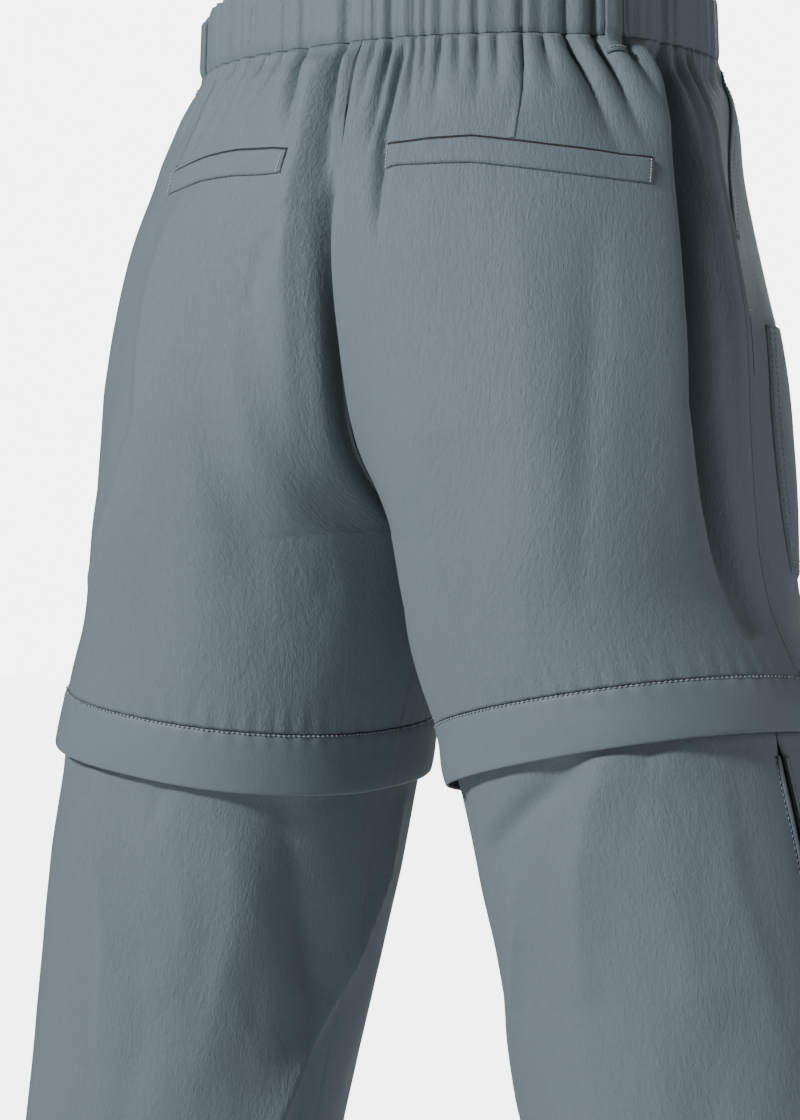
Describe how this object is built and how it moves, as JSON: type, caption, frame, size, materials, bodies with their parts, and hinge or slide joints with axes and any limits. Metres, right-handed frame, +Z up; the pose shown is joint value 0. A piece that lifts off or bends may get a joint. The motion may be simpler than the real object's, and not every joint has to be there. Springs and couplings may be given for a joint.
{
  "type": "convertible zip-off trousers",
  "caption": "Loose zip-off trousers as worn in a slow step: gathered elastic waist, welt and cargo pockets, knee flaps over hidden zips, side zips down the lower legs.",
  "frame": {"origin": "centre of the waist opening, at half the waistband's height", "axes": "+Z up, -Y the way the wearer faces, +X the wearer's left"},
  "size_m": [0.6874, 0.2873, 1.031],
  "materials": {
    "front_left": "crinkled light nylon weave, slight sheen",
    "back_left": "crinkled light nylon weave, slight sheen",
    "front_right": "crinkled light nylon weave, slight sheen",
    "back_right": "crinkled light nylon weave, slight sheen",
    "waistband": "crinkled light nylon weave, slight sheen",
    "back_welt_left": "crinkled light nylon weave, slight sheen",
    "back_welt_right": "crinkled light nylon weave, slight sheen",
    "hand_pocket_left": "crinkled light nylon weave, slight sheen",
    "hand_pocket_right": "crinkled light nylon weave, slight sheen",
    "cargo_pocket_left": "crinkled light nylon weave, slight sheen",
    "cargo_pocket_right": "crinkled light nylon weave, slight sheen",
    "belt_loop_left": "crinkled light nylon weave, slight sheen",
    "belt_loop_right": "crinkled light nylon weave, slight sheen",
    "belt_loop_front_left": "crinkled light nylon weave, slight sheen",
    "belt_loop_front_right": "crinkled light nylon weave, slight sheen",
    "waist_button": "smooth moulded",
    "knee_flap_left": "crinkled light nylon weave, slight sheen",
    "knee_zip_left": "woven tape",
    "knee_flap_right": "crinkled light nylon weave, slight sheen",
    "knee_zip_right": "woven tape",
    "lower_front_left": "crinkled light nylon weave, slight sheen",
    "lower_back_left": "crinkled light nylon weave, slight sheen",
    "side_zip_left": "woven tape",
    "side_slider_left": "smooth moulded",
    "pull_tab_left": "smooth moulded",
    "lower_front_right": "crinkled light nylon weave, slight sheen",
    "lower_back_right": "crinkled light nylon weave, slight sheen",
    "side_zip_right": "woven tape",
    "side_slider_right": "smooth moulded",
    "pull_tab_right": "smooth moulded"
  },
  "bodies": {
    "root": {"front_left": "front_left", "back_left": "back_left", "front_right": "front_right", "back_right": "back_right", "waistband": "waistband", "back_welt_left": "back_welt_left", "back_welt_right": "back_welt_right", "hand_pocket_left": "hand_pocket_left", "hand_pocket_right": "hand_pocket_right", "cargo_pocket_left": "cargo_pocket_left", "cargo_pocket_right": "cargo_pocket_right", "belt_loop_left": "belt_loop_left", "belt_loop_right": "belt_loop_right", "belt_loop_front_left": "belt_loop_front_left", "belt_loop_front_right": "belt_loop_front_right", "waist_button": "waist_button", "knee_flap_left": "knee_flap_left", "knee_zip_left": "knee_zip_left", "knee_flap_right": "knee_flap_right", "knee_zip_right": "knee_zip_right", "lower_front_left": "lower_front_left", "lower_back_left": "lower_back_left", "side_zip_left": "side_zip_left", "side_slider_left": "side_slider_left", "lower_front_right": "lower_front_right", "lower_back_right": "lower_back_right", "side_zip_right": "side_zip_right", "side_slider_right": "side_slider_right"},
    "tab_left": {"pull_tab_left": "pull_tab_left"},
    "tab_right": {"pull_tab_right": "pull_tab_right"}
  },
  "joints": [
    {"name": "tab_hinge_left", "type": "hinge", "parent": "root", "child": "tab_left", "pos_m": [0.34059, 0.05674, -0.96853], "axis": [0.2759, -0.9612, 0], "range_deg": [0, 120]},
    {"name": "tab_hinge_right", "type": "hinge", "parent": "root", "child": "tab_right", "pos_m": [-0.34112, 0.05944, -0.97047], "axis": [0.2815, 0.9596, 0], "range_deg": [0, 120]}
  ]
}
